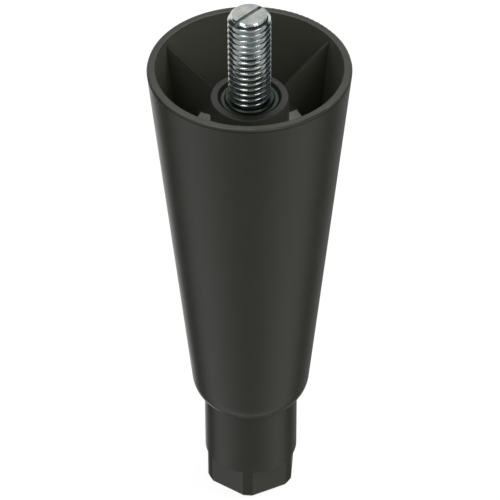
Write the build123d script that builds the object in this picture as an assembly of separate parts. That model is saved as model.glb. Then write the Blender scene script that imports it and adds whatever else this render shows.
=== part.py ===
from build123d import *
import os

# Adjustable equipment leg, standing on its foot.
# The origin is the middle of the foot's flat bottom, +Z is up, and all sizes are in millimetres.
# One of the three ribs points nearly along -Y.

# Heights
rim_height = 164.0
body_length = 127.9

# Leg body: the outside
rim_diameter = 60.0
rim_band_height = 0.9
rim_band_step = 0.225
rim_edge_round = 0.4
taper_end_diameter = 35.9
end_round = 9.5
end_round_cut_off = 2.3

# Leg body: the open top, with its ribs, boss and column
wall = 2.6
rib_count = 3
first_rib_angle = -88.0
rib_thickness = 1.1
rib_edge_round = 0.3
rib_drop_at_wall = 0.6
rib_drop_at_boss = 2.2
boss_diameter = 23.4
boss_drop = 10.9
boss_edge_round = 0.4
boss_mouth_chamfer = 0.95
ledge_drop = 11.5
ledge_edge_round = 0.5
column_wall = 1.65
pocket_depth = 86.0
roof_thickness = 2.65

# Threaded stud: 12.7 mm across its thread, with a pitch of 1.954 mm
stud_diameter = 12.7
stud_pitch_diameter = 11.43
stud_length = 44.45
stud_above_rim = 19.05
stud_end_chamfer = 1.3
slot_width = 1.2
slot_depth = 1.6
slot_angle = 47.0

# Threaded insert, moulded into the boss
insert_diameter = 17.0
insert_drop = 0.8
collar_diameter = 15.0
collar_height = 0.8
collar_chamfer = 0.4

# Foot
neck_diameter = 29.5
neck_inside = 18.0
flats_width = 27.0
flats_height = 11.5
flats_turn = -4.3
foot_edge_round = 2.0
barrel_step = 0.75
barrel_length = 48.0
barrel_lead_in = 1.5
core_diameter = 18.0
core_floor = 20.0

# Fits, each on the radius, and the room that the foot needs to screw in
neck_clearance = 0.1
barrel_clearance = 0.1
stud_clearance = 0.05
stud_shoulder_gap = 0.3
insert_clearance = 0.05
screw_in_travel = 20.0
end_gap = 0.5

# How far a cutting shape reaches past the face that it opens
overrun = 1.0

# Heights worked out from the sizes above
body_end_height = rim_height - body_length
band_height = rim_height - rim_band_height
boss_top_height = rim_height - boss_drop
ledge_height = boss_top_height - ledge_drop
pocket_floor_height = rim_height - pocket_depth
stud_top_height = rim_height + stud_above_rim
stud_base_height = stud_top_height - stud_length
bore_top_height = stud_base_height - roof_thickness
insert_face_height = boss_top_height - insert_drop
collar_top_height = insert_face_height + collar_height
neck_top_height = body_end_height + neck_inside
barrel_top_height = neck_top_height + barrel_length
socket_top_height = neck_top_height + screw_in_travel + end_gap

# Radii worked out from the sizes above
taper_top_radius = rim_diameter / 2 + rim_band_step
boss_radius = boss_diameter / 2
insert_seat_radius = insert_diameter / 2 + insert_clearance
socket_radius = neck_diameter / 2 + neck_clearance
barrel_radius = neck_diameter / 2 - barrel_step
barrel_bore_radius = barrel_radius + barrel_clearance
column_radius = socket_radius + column_wall


def taper_radius(height):
    """Radius of the outside cone at a height: a straight line from the rim to the end."""
    share = (rim_height - height) / body_length
    return taper_top_radius + (taper_end_diameter / 2 - taper_top_radius) * share


def turned(points):
    """Solid of revolution about Z of a closed outline of (radius, height) points."""
    return revolve(Plane.XZ * make_face(Polyline(*points, close=True)), Axis.Z)


def cylinder_between(radius, bottom, top):
    """Cylinder about Z between two heights."""
    from_base = (Align.CENTER, Align.CENTER, Align.MIN)
    return Pos(0, 0, bottom) * Cylinder(radius, top - bottom, align=from_base)


def circles_at(solid, height):
    """Round edges of a solid that lie level at a height."""
    circles = solid.edges().filter_by(GeomType.CIRCLE)
    return circles.filter_by_position(Axis.Z, height - 0.01, height + 0.01)


def body_outside():
    """Filled outside form: a shallow band under the rim, the taper and the rounded end.

    The large round is cut off flat where it nears the neck, which leaves a narrow land.
    """
    full_round_height = body_end_height - end_round_cut_off
    solid = turned([
        (0, full_round_height),
        (taper_radius(full_round_height), full_round_height),
        (taper_radius(band_height), band_height),
        (rim_diameter / 2, band_height),
        (rim_diameter / 2, rim_height),
        (0, rim_height),
    ])
    solid = fillet(circles_at(solid, full_round_height), end_round)
    return solid - cylinder_between(rim_diameter / 2, full_round_height - overrun, body_end_height)


def body_hollow():
    """Room that the open top leaves around the boss and the column, without the ribs."""
    top = rim_height + overrun
    return turned([
        (0, boss_top_height),
        (boss_radius, boss_top_height),
        (boss_radius, ledge_height),
        (column_radius, ledge_height),
        (column_radius, pocket_floor_height),
        (taper_radius(pocket_floor_height) - wall, pocket_floor_height),
        (taper_radius(top) - wall, top),
        (0, top),
    ])


def rib(angle):
    """Radial rib whose rounded top edge slopes straight from the wall down to the boss."""
    root = (boss_radius + insert_seat_radius) / 2
    wall_end_height = rim_height - rib_drop_at_wall
    wall_end_radius = taper_radius(wall_end_height) - wall / 2
    boss_end_height = boss_top_height - rib_drop_at_boss
    foot_height = pocket_floor_height - overrun
    outline = Polyline(
        (root, boss_end_height),
        (wall_end_radius, wall_end_height),
        (taper_radius(foot_height) - wall / 2, foot_height),
        (root, foot_height),
        close=True,
    )
    plate = extrude(Plane.XZ * make_face(outline), rib_thickness / 2, both=True)
    top_face = plate.faces().sort_by(Axis.Z)[-1]
    long_edges = top_face.edges().sort_by(SortBy.LENGTH)[-2:]
    return Rot(0, 0, angle) * fillet(long_edges, rib_edge_round)


def insert_seat():
    """Blind hole in the boss that holds the insert, with its chamfered mouth."""
    return turned([
        (0, stud_base_height),
        (insert_seat_radius, stud_base_height),
        (insert_seat_radius, boss_top_height - boss_mouth_chamfer),
        (insert_seat_radius + boss_mouth_chamfer, boss_top_height),
        (insert_seat_radius + boss_mouth_chamfer, boss_top_height + overrun),
        (0, boss_top_height + overrun),
    ])


def foot_socket():
    """Stepped bore that the foot screws into from below."""
    wide = cylinder_between(socket_radius, body_end_height - overrun, socket_top_height)
    return wide + cylinder_between(barrel_bore_radius, socket_top_height, bore_top_height)


def leg_body():
    """One moulding: tapered shell, ribs, boss, shouldered column and the foot's socket."""
    hollow = body_hollow()
    for number in range(rib_count):
        hollow -= rib(first_rib_angle + number * 360 / rib_count)
    body = body_outside() - hollow
    body = fillet(circles_at(body, rim_height), rim_edge_round)
    body = fillet(circles_at(body, boss_top_height), boss_edge_round)
    ledge_edges = circles_at(body, ledge_height).group_by(SortBy.RADIUS)[-1]
    body = fillet(ledge_edges, ledge_edge_round)
    return body - insert_seat() - foot_socket()


def stud():
    """Stud with a screwdriver slot across its top.

    Above the insert it has the thread's outer diameter, and in the insert the thread's
    pitch diameter, where a stud and the thread that holds it meet.
    """
    free_base_height = collar_top_height + stud_shoulder_gap
    free_end = cylinder_between(stud_diameter / 2, free_base_height, stud_top_height)
    free_end = chamfer(circles_at(free_end, stud_top_height), stud_end_chamfer)
    held_end = cylinder_between(stud_pitch_diameter / 2, stud_base_height, free_base_height)
    slot = Box(2 * stud_diameter, slot_width, 2 * slot_depth)
    return free_end + held_end - Pos(0, 0, stud_top_height) * Rot(0, 0, slot_angle) * slot


def thread_insert():
    """Round metal bush that the stud screws into, with a raised collar at its top."""
    bush = cylinder_between(insert_diameter / 2, stud_base_height, insert_face_height)
    collar = cylinder_between(collar_diameter / 2, insert_face_height, collar_top_height)
    collar = chamfer(circles_at(collar, collar_top_height), collar_chamfer)
    bore_radius = stud_pitch_diameter / 2 + stud_clearance
    bore = cylinder_between(bore_radius, stud_base_height - overrun, collar_top_height + overrun)
    return bush + collar - bore


def foot():
    """Foot with six wrench flats, a round neck and a threaded barrel with a cored middle."""
    neck = cylinder_between(neck_diameter / 2, 0, neck_top_height)
    corner_to_front = 30
    hexagon = RegularPolygon(flats_width / 2, 6, major_radius=False)
    turned_hexagon = Rot(0, 0, corner_to_front + flats_turn) * hexagon
    outside_flats = Circle(neck_diameter) - turned_hexagon
    neck -= extrude(outside_flats, flats_height)
    bottom_edges = neck.faces().sort_by(Axis.Z)[0].edges()
    neck = fillet(bottom_edges, foot_edge_round)
    barrel = cylinder_between(barrel_radius, neck_top_height, barrel_top_height)
    barrel = chamfer(circles_at(barrel, barrel_top_height), barrel_lead_in)
    core = cylinder_between(core_diameter / 2, core_floor, barrel_top_height + overrun)
    return neck + barrel - core


os.makedirs("parts", exist_ok=True)
pieces = {
    "leg_body": leg_body(),
    "thread_insert": thread_insert(),
    "stud": stud(),
    "foot": foot(),
}
for name, piece in pieces.items():
    export_step(piece, f"parts/{name}.step")
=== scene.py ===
"""Adjustable equipment leg, dressed for its photograph.

The leg body and the foot are near-black moulded plastic. The stud gets its real thread here
and is bright zinc, and the insert that holds it is dull, dark zinc. Everything is in metres,
+Z up, standing on its foot.
"""

import math

import bpy
import bmesh
import numpy as np
from mathutils import Matrix, Vector


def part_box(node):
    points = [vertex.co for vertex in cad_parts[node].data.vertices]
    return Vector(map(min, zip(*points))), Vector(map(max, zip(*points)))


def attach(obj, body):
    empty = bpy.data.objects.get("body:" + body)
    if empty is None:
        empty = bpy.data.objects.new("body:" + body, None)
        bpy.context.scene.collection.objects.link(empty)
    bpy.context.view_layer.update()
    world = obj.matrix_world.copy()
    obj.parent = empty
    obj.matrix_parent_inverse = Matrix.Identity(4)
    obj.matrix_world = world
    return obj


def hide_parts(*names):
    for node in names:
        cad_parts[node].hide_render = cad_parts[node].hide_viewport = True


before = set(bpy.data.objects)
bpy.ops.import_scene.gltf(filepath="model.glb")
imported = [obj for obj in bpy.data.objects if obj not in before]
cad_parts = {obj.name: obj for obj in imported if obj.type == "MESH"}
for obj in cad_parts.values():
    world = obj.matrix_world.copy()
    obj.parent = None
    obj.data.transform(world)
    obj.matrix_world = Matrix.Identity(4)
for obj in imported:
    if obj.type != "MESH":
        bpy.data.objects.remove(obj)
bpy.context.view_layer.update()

MM = 0.001

# Sizes read from the solids
stud_low, stud_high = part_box("stud")
insert_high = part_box("thread_insert")[1]
STUD_RADIUS = (stud_high.x - stud_low.x) / 2
STUD_TOP = stud_high.z
STUD_BASE = stud_low.z
COLLAR_TOP = insert_high.z
RIM_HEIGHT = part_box("leg_body")[1].z

# The stud's thread, half an inch across with 13 turns to the inch, and its slotted end
THREAD_PITCH = 25.4 / 13 * MM
THREAD_DEPTH = 0.6134 * THREAD_PITCH
THREAD_PHASE = -0.16
CREST_HALF_FLAT = THREAD_PITCH / 16
FLANK_SLOPE = math.sqrt(3)
CORNER_SOFTNESS = 0.045 * MM
HELD_RADIUS = 5.715 * MM
SHOULDER_GAP = 0.3 * MM
END_CHAMFER = 1.3 * MM
SLOT_WIDTH = 1.2 * MM
SLOT_DEPTH = 1.6 * MM
SLOT_ANGLE = math.radians(47.0)

# How finely the stud is divided: rings over the slot's width and beyond it, rows down its
# side, and columns across the slot and round each half
INNER_RINGS = 4
OUTER_RINGS = 12
SIDE_ROWS = 900
SLOT_COLUMNS = 9
HALF_COLUMNS = 70

# Rounds in which a row's radii and angles settle, and lengths that count as nothing
SETTLING_ROUNDS = 3
MERGE_DISTANCE = 1e-6
SMALLEST_EDGE = 1e-7
SMALLEST_RADIUS = 1e-9

# The stud is shaded smooth across edges that turn less than this
SHARP_ANGLE = math.radians(35)


def mesh_object(name, points, faces):
    """New object from an array of points and a list of faces, with its doubles merged."""
    mesh = bpy.data.meshes.new(name)
    mesh.from_pydata(points.reshape(-1, 3).tolist(), [], faces)
    shape = bmesh.new()
    shape.from_mesh(mesh)
    bmesh.ops.remove_doubles(shape, verts=shape.verts, dist=MERGE_DISTANCE)
    bmesh.ops.dissolve_degenerate(shape, edges=shape.edges, dist=SMALLEST_EDGE)
    bmesh.ops.recalc_face_normals(shape, faces=shape.faces)
    shape.to_mesh(mesh)
    shape.free()
    piece = bpy.data.objects.new(name, mesh)
    bpy.context.scene.collection.objects.link(piece)
    return piece


def grid_faces(rows, columns):
    """Quads of a grid of rows that closes on itself across its columns."""
    row, column = np.meshgrid(np.arange(rows - 1), np.arange(columns), indexing="ij")
    here = row * columns + column
    beside = row * columns + (column + 1) % columns
    quads = np.stack([here, beside, beside + columns, here + columns], axis=-1)
    return quads.reshape(-1, 4).tolist()


def thread_radius(angle, height):
    """Radius of a right-handed 60 degree thread.

    Along the axis the distance x to the nearest crest gives the crest radius less
    1.732 times x past the crest's narrow flat, and never less than the root radius.
    Both corners are rounded by a soft minimum and a soft maximum, and the result is kept
    to the crest radius.
    """
    turn = height / THREAD_PITCH - angle / (2 * math.pi) + THREAD_PHASE
    distance = np.abs(turn - np.round(turn)) * THREAD_PITCH
    flank = (STUD_RADIUS - (distance - CREST_HALF_FLAT) * FLANK_SLOPE) / CORNER_SOFTNESS
    crest = STUD_RADIUS / CORNER_SOFTNESS
    root = (STUD_RADIUS - THREAD_DEPTH) / CORNER_SOFTNESS
    below_crest = -np.logaddexp(-flank, -crest)
    return np.minimum(CORNER_SOFTNESS * np.logaddexp(below_crest, root), STUD_RADIUS)


def threaded_stud():
    """Stud as one closed grid: rings over its slotted top, down the thread and the held end.

    Each column keeps to its own side of the slot's two walls: at radius r the walls stand
    at the angle arcsin(half the slot's width / r) from the slot's line. Columns in the slot
    are lowered to its floor, and what then coincides is merged.
    """
    half_slot = SLOT_WIDTH / 2
    floor = STUD_TOP - SLOT_DEPTH
    free_base = COLLAR_TOP + SHOULDER_GAP
    face_radius = STUD_RADIUS - END_CHAMFER

    # Rings of the flat top, then rows down the chamfer and the thread, then the held end
    inner = np.linspace(0, half_slot, INNER_RINGS)
    outer = np.linspace(half_slot, face_radius, OUTER_RINGS)
    ring_radius = np.concatenate([inner, outer])
    side_height = np.linspace(STUD_TOP, free_base, SIDE_ROWS)
    tail_radius = np.array([HELD_RADIUS, HELD_RADIUS, 0.0])
    tail_height = np.array([free_base, STUD_BASE, STUD_BASE])

    # Columns: across the slot, round one side, across the slot again, round the other side
    across = np.linspace(-1, 1, SLOT_COLUMNS)
    around = np.linspace(0, 1, HALF_COLUMNS)
    kind = np.concatenate([across * 0, around * 0 + 1, across * 0, around * 0 + 1])
    share = np.concatenate([across, around, across, around])
    second = np.concatenate([across * 0, around * 0, across * 0 + 1, around * 0 + 1])

    def angles(radius):
        """Angle of each column at a radius that may differ from column to column."""
        ratio = np.clip(half_slot / np.maximum(radius, SMALLEST_RADIUS), 0, 1)
        wall = np.arcsin(ratio)
        in_slot = share * wall
        beside = wall + share * (math.pi - 2 * wall)
        return SLOT_ANGLE + second * math.pi + np.where(kind == 0, in_slot, beside)

    def ring(radius, height):
        """Points of one ring, from its columns' radii and heights."""
        angle = angles(radius)
        full = np.broadcast_to(radius, angle.shape)
        tall = np.broadcast_to(height, angle.shape)
        return np.stack([full * np.cos(angle), full * np.sin(angle), tall], axis=-1)

    def side_radius(height):
        """Thread radius under the end's chamfer cone, settled against the columns' angles."""
        cone = face_radius + (STUD_TOP - height)
        radius = np.minimum(cone, STUD_RADIUS)
        for _ in range(SETTLING_ROUNDS):
            radius = np.minimum(cone, thread_radius(angles(radius), height))
        return radius

    floor_height = np.full(kind.shape, floor)
    floor_radius = side_radius(floor_height)
    rings = []
    for number, radius in enumerate(ring_radius):
        lowered = (kind == 0) | (number < INNER_RINGS)
        rings.append(ring(np.full(kind.shape, radius), np.where(lowered, floor, STUD_TOP)))
    for height in side_height:
        low = np.minimum(height, floor_height)
        column_height = np.where(kind == 0, low, height)
        radius = side_radius(column_height)
        reach = face_radius + (STUD_TOP - height)
        radius = np.where((kind == 0) & (height > floor), np.minimum(floor_radius, reach), radius)
        rings.append(ring(radius, column_height))
    for radius, height in zip(tail_radius, tail_height):
        rings.append(ring(np.full(kind.shape, radius), height))
    points = np.array(rings)
    return mesh_object("stud_threaded", points, grid_faces(len(rings), len(kind)))


# Colours of the moulding: outside; inside the open top, a lighter copy as painted light where it
# stands upright and a darker copy as painted shade where it lies level
OUTSIDE_COLOUR = (0.0145, 0.0153, 0.0105)
INSIDE_UPRIGHT_PAINTED_LIGHT = (0.04, 0.0415, 0.0315)
INSIDE_LEVEL_PAINTED_SHADE = (0.005, 0.0055, 0.0035)

# Painted light on the ledge: two pale greys, streaked by its turning marks
LEDGE_PAINTED_LIGHT_DARK = (0.19, 0.195, 0.17)
LEDGE_PAINTED_LIGHT_PALE = (0.4, 0.41, 0.37)

# What the patches on the moulding and on the zinc do to each part of a colour
DARK_PATCH = (0.85, 0.85, 0.85)
PALE_PATCH = (1.15, 1.15, 1.15)
BLUE_PATCH = (0.74, 0.82, 0.84)
STRAW_PATCH = (1.14, 1.11, 1.08)

# The moulding's shine, how far each roughness strays, and how much rougher the inside is
PLASTIC_SHINE = 0.36
GLOSS_SPREAD = 0.05
INSIDE_ROUGHER = 0.2

# The middle of the body's wall: its radius at the rim, and the radius lost per length
MID_WALL_RADIUS = 28.9 * MM
TAPER = 0.096

# Where a share fades in, from nought to one: inward from the middle of the wall, down from
# the rim, down to and up to the ledge, in from the column's edge, and as a face's normal
# turns from upward to sideways
MID_WALL_FADE = (0.0, 0.2 * MM)
RIM_FADE = (0.2 * MM, 0.6 * MM)
LEDGE_TOP = (22.2 * MM, 22.3 * MM)
LEDGE_UNDERSIDE = (22.65 * MM, 22.4 * MM)
LEDGE_EDGE = (16.9 * MM, 16.6 * MM)
LEVEL_TO_UPRIGHT = (0.7, 0.3)


def new_material(name):
    """Empty node material; returns the material and its node tree."""
    material = bpy.data.materials.new(name)
    material.use_nodes = True
    material.node_tree.nodes.clear()
    return material, material.node_tree


def add_node(tree, kind, **settings):
    """Adds a node and sets its properties or, by name, its input sockets."""
    node = tree.nodes.new(kind)
    for key, value in settings.items():
        if key in node.inputs:
            node.inputs[key].default_value = value
        else:
            setattr(node, key, value)
    return node


def link(tree, source, target):
    """Joins an output socket to an input socket."""
    tree.links.new(source, target)


def math_node(tree, operation, first, second=None):
    """Maths on one or two values, each of them an output socket or a number."""
    node = add_node(tree, "ShaderNodeMath", operation=operation)
    for place, value in enumerate((first, second)):
        if isinstance(value, (int, float)):
            node.inputs[place].default_value = value
        elif value is not None:
            link(tree, value, node.inputs[place])
    return node.outputs[0]


def product(tree, first, *others):
    """Product of two or more values, each of them an output socket or a number."""
    for other in others:
        first = math_node(tree, "MULTIPLY", first, other)
    return first


def fade(tree, value, start, end):
    """Runs smoothly from 0 to 1 as a value goes from start to end, and stays there."""
    node = add_node(tree, "ShaderNodeMapRange", interpolation_type="SMOOTHSTEP")
    node.inputs["From Min"].default_value = start
    node.inputs["From Max"].default_value = end
    link(tree, value, node.inputs["Value"])
    return node.outputs[0]


def mixed(tree, factor, first, second):
    """Mix of two colours, each of them a socket or three numbers, by a factor socket."""
    node = add_node(tree, "ShaderNodeMix", data_type="RGBA")
    link(tree, factor, node.inputs["Factor"])
    for socket, value in (("A", first), ("B", second)):
        if isinstance(value, tuple):
            node.inputs[socket].default_value = (*value, 1)
        else:
            link(tree, value, node.inputs[socket])
    return node.outputs["Result"]


def tone_ramp(tree, stops):
    """Colour ramp through (position, colour) stops; a single number is a grey."""
    node = add_node(tree, "ShaderNodeValToRGB")
    elements = node.color_ramp.elements
    while len(elements) < len(stops):
        elements.new(1.0)
    for element, (position, colour) in zip(elements, stops):
        element.position = position
        element.color = (*colour, 1) if isinstance(colour, tuple) else (colour, colour, colour, 1)
    return node


def parts_of(tree, vector):
    """X, Y and Z of a vector's output socket."""
    split = add_node(tree, "ShaderNodeSeparateXYZ")
    link(tree, vector, split.inputs[0])
    return split.outputs["X"], split.outputs["Y"], split.outputs["Z"]


def noise(tree, vector, scale, detail):
    """Noise between 0 and 1 that varies over a vector."""
    node = add_node(tree, "ShaderNodeTexNoise", Scale=scale, Detail=detail)
    link(tree, vector, node.inputs["Vector"])
    return node.outputs["Fac"]


def varied(tree, share, centre):
    """Goes from GLOSS_SPREAD under a centre to as much over it as a share goes from 0 to 1."""
    node = add_node(tree, "ShaderNodeMapRange")
    node.inputs["To Min"].default_value = centre - GLOSS_SPREAD
    node.inputs["To Max"].default_value = centre + GLOSS_SPREAD
    link(tree, share, node.inputs["Value"])
    return node.outputs[0]


def scaled(colour, factors):
    """Colour with each of its parts times its own factor."""
    return tuple(part * factor for part, factor in zip(colour, factors))


def round_place(tree, place):
    """Distance from the axis, and depth below the rim."""
    x, y, z = parts_of(tree, place)
    square = math_node(tree, "ADD", product(tree, x, x), product(tree, y, y))
    return math_node(tree, "SQRT", square), math_node(tree, "SUBTRACT", RIM_HEIGHT, z)


def inside_share(tree, radius, below):
    """One within the leg body's open top and nought outside it and on its rim.

    A point is inside where its distance from the axis is under the radius, at its depth, of
    a cone in the middle of the wall, and it lies below the rim's rounded edge.
    """
    cone = math_node(tree, "SUBTRACT", MID_WALL_RADIUS, product(tree, below, TAPER))
    inside = fade(tree, math_node(tree, "SUBTRACT", cone, radius), *MID_WALL_FADE)
    return product(tree, inside, fade(tree, below, *RIM_FADE))


def ledge_painted_light_share(tree, radius, below):
    """One on the ledge round the boss, at its depth and out to the column's rounded edge."""
    return product(
        tree,
        fade(tree, below, *LEDGE_UNDERSIDE),
        fade(tree, below, *LEDGE_TOP),
        fade(tree, radius, *LEDGE_EDGE),
    )


def hollow_finish_and_painted_light(tree, place, tint, satin):
    """Colour and roughness of the leg body, from those of its outside.

    Its open inside is matter, with painted light that makes it greyer on what stands upright and
    painted shade that makes it darker on what lies level, and the ledge is painted light, pale with
    fine turning marks that run round it.
    """
    radius, below = round_place(tree, place)
    inside = inside_share(tree, radius, below)
    satin = math_node(tree, "ADD", satin, product(tree, inside, INSIDE_ROUGHER))
    normal = add_node(tree, "ShaderNodeNewGeometry").outputs["Normal"]
    upright = fade(tree, parts_of(tree, normal)[2], *LEVEL_TO_UPRIGHT)
    # Painted light and shade: the upright inside gets a lighter copy of the moulding's colour, the
    # level inside a darker one
    tint = mixed(tree, inside, tint, mixed(tree, upright, INSIDE_LEVEL_PAINTED_SHADE, INSIDE_UPRIGHT_PAINTED_LIGHT))
    marks = add_node(tree, "ShaderNodeTexNoise", Scale=2700.0, Detail=2.0)
    marks.noise_dimensions = "1D"
    link(tree, radius, marks.inputs["W"])
    # Painted light on the ledge, streaked by the turning marks that run round it
    streaks = mixed(tree, marks.outputs["Fac"], LEDGE_PAINTED_LIGHT_DARK, LEDGE_PAINTED_LIGHT_PALE)
    return mixed(tree, ledge_painted_light_share(tree, radius, below), tint, streaks), satin


def new_surface(name):
    """Material with a Principled shader; returns it, its tree, the shader and the place."""
    material, tree = new_material(name)
    output = add_node(tree, "ShaderNodeOutputMaterial")
    shader = add_node(tree, "ShaderNodeBsdfPrincipled")
    link(tree, shader.outputs[0], output.inputs["Surface"])
    return material, tree, shader, add_node(tree, "ShaderNodeTexCoord").outputs["Object"]


def plastic(name, colour, roughness, hollow=False):
    """Satin near-black moulding: fine tooth on the surface and faint patches of gloss."""
    material, tree, shader, place = new_surface(name)
    shader.inputs["Specular IOR Level"].default_value = PLASTIC_SHINE

    patches = noise(tree, place, scale=140.0, detail=3.0)
    satin = varied(tree, patches, roughness)
    tint = mixed(tree, patches, scaled(colour, DARK_PATCH), scaled(colour, PALE_PATCH))
    # The hollow body gets painted light and shade inside, and painted light on its ledge
    if hollow:
        tint, satin = hollow_finish_and_painted_light(tree, place, tint, satin)
    link(tree, tint, shader.inputs["Base Color"])
    link(tree, satin, shader.inputs["Roughness"])

    bump = add_node(tree, "ShaderNodeBump", Strength=0.12, Distance=0.12 * MM)
    link(tree, noise(tree, place, scale=2600.0, detail=2.0), bump.inputs["Height"])
    link(tree, bump.outputs["Normal"], shader.inputs["Normal"])
    return material


def zinc(name, colour, roughness):
    """Zinc plating: metal with faint blue and straw-coloured patches that vary its gloss."""
    material, tree, shader, place = new_surface(name)
    shader.inputs["Metallic"].default_value = 1.0

    patches = noise(tree, place, scale=300.0, detail=5.0)
    blue, straw = scaled(colour, BLUE_PATCH), scaled(colour, STRAW_PATCH)
    tint = tone_ramp(tree, [(0.3, blue), (0.7, straw)])
    link(tree, patches, tint.inputs["Fac"])
    link(tree, tint.outputs["Color"], shader.inputs["Base Color"])
    link(tree, varied(tree, patches, roughness), shader.inputs["Roughness"])
    return material


def dress(node, material):
    """Gives a solid its material."""
    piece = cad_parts[node]
    piece.data.materials.clear()
    piece.data.materials.append(material)


body_plastic = plastic("body_plastic", OUTSIDE_COLOUR, roughness=0.3, hollow=True)
foot_plastic = plastic("foot_plastic", OUTSIDE_COLOUR, roughness=0.3)
stud_zinc = zinc("stud_zinc", (0.575, 0.59, 0.585), roughness=0.13)
insert_zinc = zinc("insert_zinc", (0.036, 0.043, 0.036), roughness=0.42)

dress("leg_body", body_plastic)
dress("foot", foot_plastic)
dress("thread_insert", insert_zinc)

stud = threaded_stud()
stud.data.materials.append(stud_zinc)
stud.data.shade_smooth()
stud.data.set_sharp_from_angle(angle=SHARP_ANGLE)
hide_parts("stud")
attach(stud, "leg")


# Camera, fitted to the photograph: its distance from the rim's centre, the angles that it
# looks down and rolls in radians, and its offsets in the plane across its view
CAMERA_DISTANCE = 900.0 * MM
CAMERA_DOWN = 0.7112
CAMERA_ROLL = 0.004
CAMERA_SIDE = -0.148 * MM
CAMERA_RISE = 53.574 * MM
FOCAL_PIXELS = 3078.3
PHOTO_PIXELS = 500
SENSOR_WIDTH = 36.0

LAMP_AIM = Vector((0, 0, 100.0 * MM))


def add_camera():
    """Camera on the -Y side, looking down at the rim's centre, shifted sideways and up."""
    forward = Vector((0, math.cos(CAMERA_DOWN), -math.sin(CAMERA_DOWN)))
    level = Vector((1, 0, 0))
    upright = Vector((0, math.sin(CAMERA_DOWN), math.cos(CAMERA_DOWN)))
    right = level * math.cos(CAMERA_ROLL) - upright * math.sin(CAMERA_ROLL)
    up = level * math.sin(CAMERA_ROLL) + upright * math.cos(CAMERA_ROLL)
    place = Vector((0, 0, RIM_HEIGHT)) - CAMERA_DISTANCE * forward
    place -= CAMERA_SIDE * right + CAMERA_RISE * up
    data = bpy.data.cameras.new("camera")
    data.sensor_width = SENSOR_WIDTH
    data.lens = FOCAL_PIXELS * SENSOR_WIDTH / PHOTO_PIXELS
    data.clip_start = 0.01
    data.clip_end = 20
    camera = bpy.data.objects.new("camera", data)
    bpy.context.scene.collection.objects.link(camera)
    turn = Matrix((right, up, -forward)).transposed()
    camera.matrix_world = Matrix.Translation(place) @ turn.to_4x4()
    bpy.context.scene.camera = camera


def add_softbox(name, azimuth, elevation, distance, width, height, power):
    """Area lamp aimed at the leg's middle; azimuth 0 is the camera's side, 90 is +X.

    The angles are in degrees, the lengths in metres and the power in watts.
    """
    data = bpy.data.lights.new(name, "AREA")
    data.shape = "RECTANGLE"
    data.size = width
    data.size_y = height
    data.energy = power
    lamp = bpy.data.objects.new(name, data)
    bpy.context.scene.collection.objects.link(lamp)
    around = math.radians(azimuth)
    rise = math.radians(elevation)
    level = math.cos(rise)
    away = Vector((math.sin(around) * level, -math.cos(around) * level, math.sin(rise)))
    lamp.location = LAMP_AIM + away * distance
    lamp.rotation_euler = away.to_track_quat("Z", "Y").to_euler()
    return lamp


# Tones that mirrors see: overhead, the screens behind and in front, and the walls all round
# at the horizon
SKY_DARK = (0.03, 0.035, 0.038)
SKY_BEHIND = (0.76, 0.75, 0.73)
SKY_FRONT = (0.45, 0.46, 0.46)
WALLS = (1.1, 1.12, 1.12)

# Tones low down, each with its angle in degrees from the front, negative to the left
FLOOR_TONES = [
    (-180, 1.0), (-160, 1.0), (-150, 0.75), (-140, 0.25), (-131, 0.07), (-122, 0.04),
    (-113, 0.1), (-105, 0.35), (-95, 0.58), (-85, 0.75), (-72, 0.83), (-39, 0.6), (-20, 0.45),
    (0, 0.38), (20, 0.45), (39, 0.62), (60, 0.76), (75, 0.7), (88, 0.52), (97, 0.3),
    (106, 0.1), (114, 0.04), (123, 0.1), (134, 0.22), (144, 0.27), (160, 0.3), (180, 0.45),
]

# Where each tone fades in, from nought to one, along a part of the direction: x is to the
# right, y to the back and z up, each from -1 to 1. The ceiling starts lower at the back.
WALLS_BOTTOM_Z = (-0.22, -0.08)
CEILING_BOTTOM_Z = (0.4, 0.58)
CEILING_LOWER_Y = (-0.1, 0.1)
CEILING_DROP = 0.2
FRONT_BOTTOM_Z = (0.42, 0.52)
FRONT_TOP_Z = (0.88, 0.8)
FRONT_Y = (0.15, -0.05)
BEHIND_BOTTOM_Z = (0.4, 0.5)
BEHIND_TOP_Z = (0.8, 0.7)
BEHIND_Y = (0.45, 0.6)
BEHIND_SIDES_X = (0.5, 0.35)

# Strength of the light all round, the floor's grey, how much of its shade the camera sees,
# and half its width in metres
SOFT_LIGHT = 0.75
FLOOR_COLOUR = (0.85, 0.85, 0.85)
SHADOW_SHARE = 0.07
FLOOR_HALF = 3.0


def seen_directly(tree):
    """Two shares: of camera rays, and of camera, glossy and transmission rays together.

    Diffuse light gets nought in both.
    """
    path = add_node(tree, "ShaderNodeLightPath")
    camera = path.outputs["Is Camera Ray"]
    either = math_node(tree, "MAXIMUM", camera, path.outputs["Is Glossy Ray"])
    return camera, math_node(tree, "MAXIMUM", either, path.outputs["Is Transmission Ray"])


def shader_mix(tree, factor, first, second):
    """Mix of two shader nodes by a factor that is an output socket or a number."""
    node = add_node(tree, "ShaderNodeMixShader")
    if isinstance(factor, float):
        node.inputs[0].default_value = factor
    else:
        link(tree, factor, node.inputs[0])
    link(tree, first.outputs[0], node.inputs[1])
    link(tree, second.outputs[0], node.inputs[2])
    return node


def low_tone(tree, x, y):
    """Tone by the angle round the object, from FLOOR_TONES.

    The angle from the front goes from -180 to 180 degrees, and the ramp from 0 to 1.
    """
    turn = math_node(tree, "ARCTAN2", x, math_node(tree, "MULTIPLY", y, -1.0))
    share = add_node(tree, "ShaderNodeMapRange")
    share.inputs["From Min"].default_value = -math.pi
    share.inputs["From Max"].default_value = math.pi
    link(tree, turn, share.inputs["Value"])
    tone = tone_ramp(tree, [(0.5 + angle / 360, level) for angle, level in FLOOR_TONES])
    link(tree, share.outputs[0], tone.inputs["Fac"])
    return tone.outputs["Color"]


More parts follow.
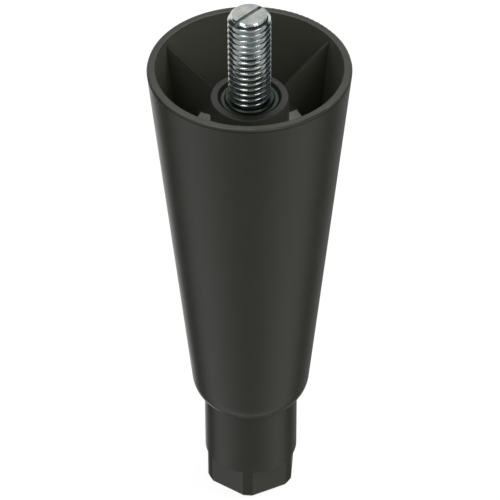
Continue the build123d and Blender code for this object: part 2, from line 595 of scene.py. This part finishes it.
def mirrored_room(tree):
    """Colour that mirrors see in each direction.

    Low down are the floor's tones, at the horizon white walls and above them a dark ceiling,
    with a grey screen before it in front and a pale one behind.
    """
    x, y, z = parts_of(tree, add_node(tree, "ShaderNodeTexCoord").outputs["Object"])
    room = mixed(tree, fade(tree, z, *WALLS_BOTTOM_Z), low_tone(tree, x, y), WALLS)

    drop = product(tree, fade(tree, y, *CEILING_LOWER_Y), CEILING_DROP)
    height = math_node(tree, "ADD", z, drop)
    room = mixed(tree, fade(tree, height, *CEILING_BOTTOM_Z), room, SKY_DARK)

    in_front = product(
        tree,
        fade(tree, z, *FRONT_BOTTOM_Z),
        fade(tree, z, *FRONT_TOP_Z),
        fade(tree, y, *FRONT_Y),
    )
    room = mixed(tree, in_front, room, SKY_FRONT)

    behind = product(
        tree,
        fade(tree, z, *BEHIND_TOP_Z),
        fade(tree, y, *BEHIND_Y),
        fade(tree, z, *BEHIND_BOTTOM_Z),
        fade(tree, math_node(tree, "ABSOLUTE", x), *BEHIND_SIDES_X),
    )
    return mixed(tree, behind, room, SKY_BEHIND)


def add_world():
    """White for the camera, a room for mirrors, and soft even light for all else."""
    world = bpy.data.worlds.new("studio")
    bpy.context.scene.world = world
    world.use_nodes = True
    tree = world.node_tree
    tree.nodes.clear()
    output = add_node(tree, "ShaderNodeOutputWorld")
    soft = add_node(tree, "ShaderNodeBackground", Color=(1, 1, 1, 1), Strength=SOFT_LIGHT)
    seen = add_node(tree, "ShaderNodeBackground", Strength=1.0)
    camera, direct = seen_directly(tree)
    link(tree, mixed(tree, camera, mirrored_room(tree), (1, 1, 1)), seen.inputs["Color"])
    link(tree, shader_mix(tree, direct, soft, seen).outputs[0], output.inputs["Surface"])


def add_floor():
    """White floor, of whose shade the camera sees a small part.

    Mirrors see the world through it, whose low tones stand for a studio's distant floor.
    """
    corners = [(x * FLOOR_HALF, y * FLOOR_HALF, 0) for x, y in ((-1, -1), (1, -1), (1, 1), (-1, 1))]
    mesh = bpy.data.meshes.new("floor")
    mesh.from_pydata(corners, [], [(0, 1, 2, 3)])
    floor = bpy.data.objects.new("floor", mesh)
    bpy.context.scene.collection.objects.link(floor)
    material, tree = new_material("floor_white")
    output = add_node(tree, "ShaderNodeOutputMaterial")
    lit = add_node(tree, "ShaderNodeBsdfDiffuse", Color=(*FLOOR_COLOUR, 1))
    white = add_node(tree, "ShaderNodeEmission", Strength=1.0)
    clear = add_node(tree, "ShaderNodeBsdfTransparent")

    camera, direct = seen_directly(tree)
    by_camera = shader_mix(tree, SHADOW_SHARE, white, lit)
    seen = shader_mix(tree, camera, clear, by_camera)
    link(tree, shader_mix(tree, direct, lit, seen).outputs[0], output.inputs["Surface"])
    mesh.materials.append(material)


add_camera()
add_world()
add_floor()
add_softbox("key", 48, 57, distance=1.1, width=0.35, height=0.35, power=1.9)
add_softbox("left", -50, 58, distance=1.0, width=0.3, height=0.5, power=2.6)
side = add_softbox("right", 86, 50, distance=1.0, width=0.4, height=0.5, power=6.5)
add_softbox("back_top", 180, 60, distance=1.1, width=1.0, height=0.3, power=7)

# The stud would mirror the right lamp as broad white streaks
side.visible_glossy = False

view = bpy.context.scene.view_settings
view.view_transform = "Standard"
